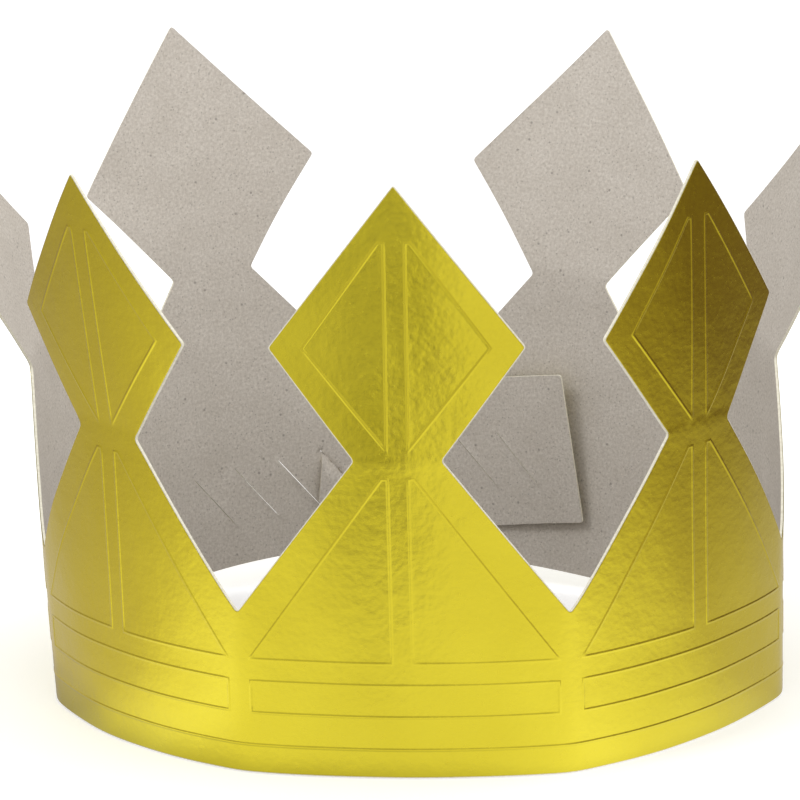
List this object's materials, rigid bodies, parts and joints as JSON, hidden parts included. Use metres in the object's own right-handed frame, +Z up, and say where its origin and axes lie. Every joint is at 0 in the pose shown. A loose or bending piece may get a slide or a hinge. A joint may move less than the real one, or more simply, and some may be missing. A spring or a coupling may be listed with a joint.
{
  "type": "card crown",
  "caption": "One-piece party crown cut from foil-faced card, with pointed diamonds on narrow necks above a plain band, closed at the back by a tongue in a slanted slit.",
  "frame": {"origin": "middle of the crown's outer bounds in plan, at the height of the front band's lower edge", "axes": "+X to the right of a viewer facing the front point, +Y from the front point to the lapped back, +Z up"},
  "size_m": [0.2306, 0.1852, 0.1538],
  "materials": {
    "greyboard": "matte",
    "gold_foil": "satin"
  },
  "bodies": {
    "front": {"front_band_board": "greyboard", "front_band_foil": "gold_foil"},
    "left_back": {"left_back_band_board": "greyboard", "left_back_band_foil": "gold_foil"},
    "left_side": {"left_side_band_board": "greyboard", "left_side_band_foil": "gold_foil"},
    "left_front": {"left_front_band_board": "greyboard", "left_front_band_foil": "gold_foil"},
    "right_front": {"right_front_band_board": "greyboard", "right_front_band_foil": "gold_foil"},
    "right_side": {"right_side_band_board": "greyboard", "right_side_band_foil": "gold_foil"},
    "right_back": {"right_back_band_board": "greyboard", "right_back_band_foil": "gold_foil"},
    "left_end": {"left_end_board": "greyboard", "left_end_foil": "gold_foil"},
    "right_end": {"right_end_board": "greyboard", "right_end_foil": "gold_foil", "tongue_board": "greyboard", "tongue_foil": "gold_foil"},
    "left_back_point": {"left_back_point_board": "greyboard", "left_back_point_foil": "gold_foil"},
    "left_side_point": {"left_side_point_board": "greyboard", "left_side_point_foil": "gold_foil"},
    "left_front_point": {"left_front_point_board": "greyboard", "left_front_point_foil": "gold_foil"},
    "front_point": {"front_point_board": "greyboard", "front_point_foil": "gold_foil"},
    "right_front_point": {"right_front_point_board": "greyboard", "right_front_point_foil": "gold_foil"},
    "right_side_point": {"right_side_point_board": "greyboard", "right_side_point_foil": "gold_foil"},
    "right_back_point": {"right_back_point_board": "greyboard", "right_back_point_foil": "gold_foil"}
  },
  "joints": [
    {"name": "opening", "type": "hinge", "parent": "front", "child": "right_front", "pos_m": [0.05431, -0.08619, 0], "axis": [0, 0, -1], "range_deg": [0, 54], "deforming": ["tongue_board", "tongue_foil"]},
    {"name": "right_side_unrolling", "type": "hinge", "parent": "right_front", "child": "right_side", "pos_m": [0.10147, -0.01939, 0.00004], "axis": [-0.0209, 0.0094, -0.9997], "range_deg": [0, 59.4]},
    {"name": "right_back_unrolling", "type": "hinge", "parent": "right_side", "child": "right_back", "pos_m": [0.06949, 0.0552, 0.0026], "axis": [-0.0883, -0.008, -0.9961], "range_deg": [0, 45.9]},
    {"name": "right_end_unrolling", "type": "hinge", "parent": "right_back", "child": "right_end", "pos_m": [-0.00548, 0.08411, 0.00919], "axis": [-0.1041, 0.0052, -0.9945], "range_deg": [0, 27]},
    {"name": "left_front_unrolling", "type": "hinge", "parent": "front", "child": "left_front", "pos_m": [-0.02739, -0.08769, 0], "axis": [0, 0, 1], "range_deg": [0, 46.98]},
    {"name": "left_side_unrolling", "type": "hinge", "parent": "left_front", "child": "left_side", "pos_m": [-0.08266, -0.03033, 0.00005], "axis": [-0.0439, -0.0229, 0.9988], "range_deg": [0, 49.41]},
    {"name": "left_back_unrolling", "type": "hinge", "parent": "left_side", "child": "left_back", "pos_m": [-0.07424, 0.04871, 0.00363], "axis": [-0.1461, -0.024, 0.989], "range_deg": [0, 55.62]},
    {"name": "left_end_unrolling", "type": "hinge", "parent": "left_back", "child": "left_end", "pos_m": [-0.00098, 0.08268, 0.01354], "axis": [-0.1426, 0.0103, 0.9897], "range_deg": [0, 41.04]},
    {"name": "left_back_neck_bend", "type": "hinge", "parent": "left_back", "child": "left_back_point", "pos_m": [-0.05484, 0.07455, 0.08754], "axis": [-0.9188, -0.3804, -0.1057], "range_deg": [-25, 25], "stiffness_Nm_per_rad": 0.03},
    {"name": "left_side_neck_bend", "type": "hinge", "parent": "left_side", "child": "left_side_point", "pos_m": [-0.09131, 0.007, 0.08156], "axis": [-0.0066, -0.9991, -0.0423], "range_deg": [-25, 25], "stiffness_Nm_per_rad": 0.03},
    {"name": "left_front_neck_bend", "type": "hinge", "parent": "left_front", "child": "left_front_point", "pos_m": [-0.06174, -0.06526, 0.0805], "axis": [0.7269, -0.6868, 0], "range_deg": [-25, 25], "stiffness_Nm_per_rad": 0.03},
    {"name": "front_neck_bend", "type": "hinge", "parent": "front", "child": "front_point", "pos_m": [0.01348, -0.09206, 0.0805], "axis": [0.9999, 0.0165, 0], "range_deg": [-25, 25], "stiffness_Nm_per_rad": 0.03},
    {"name": "right_front_neck_bend", "type": "hinge", "parent": "right_front", "child": "right_front_point", "pos_m": [0.08428, -0.05733, 0.0805], "axis": [0.5936, 0.8048, 0], "range_deg": [-25, 25], "stiffness_Nm_per_rad": 0.03},
    {"name": "right_side_neck_bend", "type": "hinge", "parent": "right_side", "child": "right_side_point", "pos_m": [0.09653, 0.01994, 0.08127], "axis": [-0.3346, 0.9419, 0.0298], "range_deg": [-25, 25], "stiffness_Nm_per_rad": 0.03},
    {"name": "right_back_neck_bend", "type": "hinge", "parent": "right_back", "child": "right_back_point", "pos_m": [0.04139, 0.0761, 0.08563], "axis": [-0.9366, 0.3416, 0.0784], "range_deg": [-25, 25], "stiffness_Nm_per_rad": 0.03}
  ],
  "couplings": [
    {"joint": "right_side_unrolling", "follows": "opening", "ratio": 1.1},
    {"joint": "right_back_unrolling", "follows": "opening", "ratio": 0.85},
    {"joint": "right_end_unrolling", "follows": "opening", "ratio": 0.5},
    {"joint": "left_front_unrolling", "follows": "opening", "ratio": 0.87},
    {"joint": "left_side_unrolling", "follows": "opening", "ratio": 0.915},
    {"joint": "left_back_unrolling", "follows": "opening", "ratio": 1.03},
    {"joint": "left_end_unrolling", "follows": "opening", "ratio": 0.76}
  ]
}
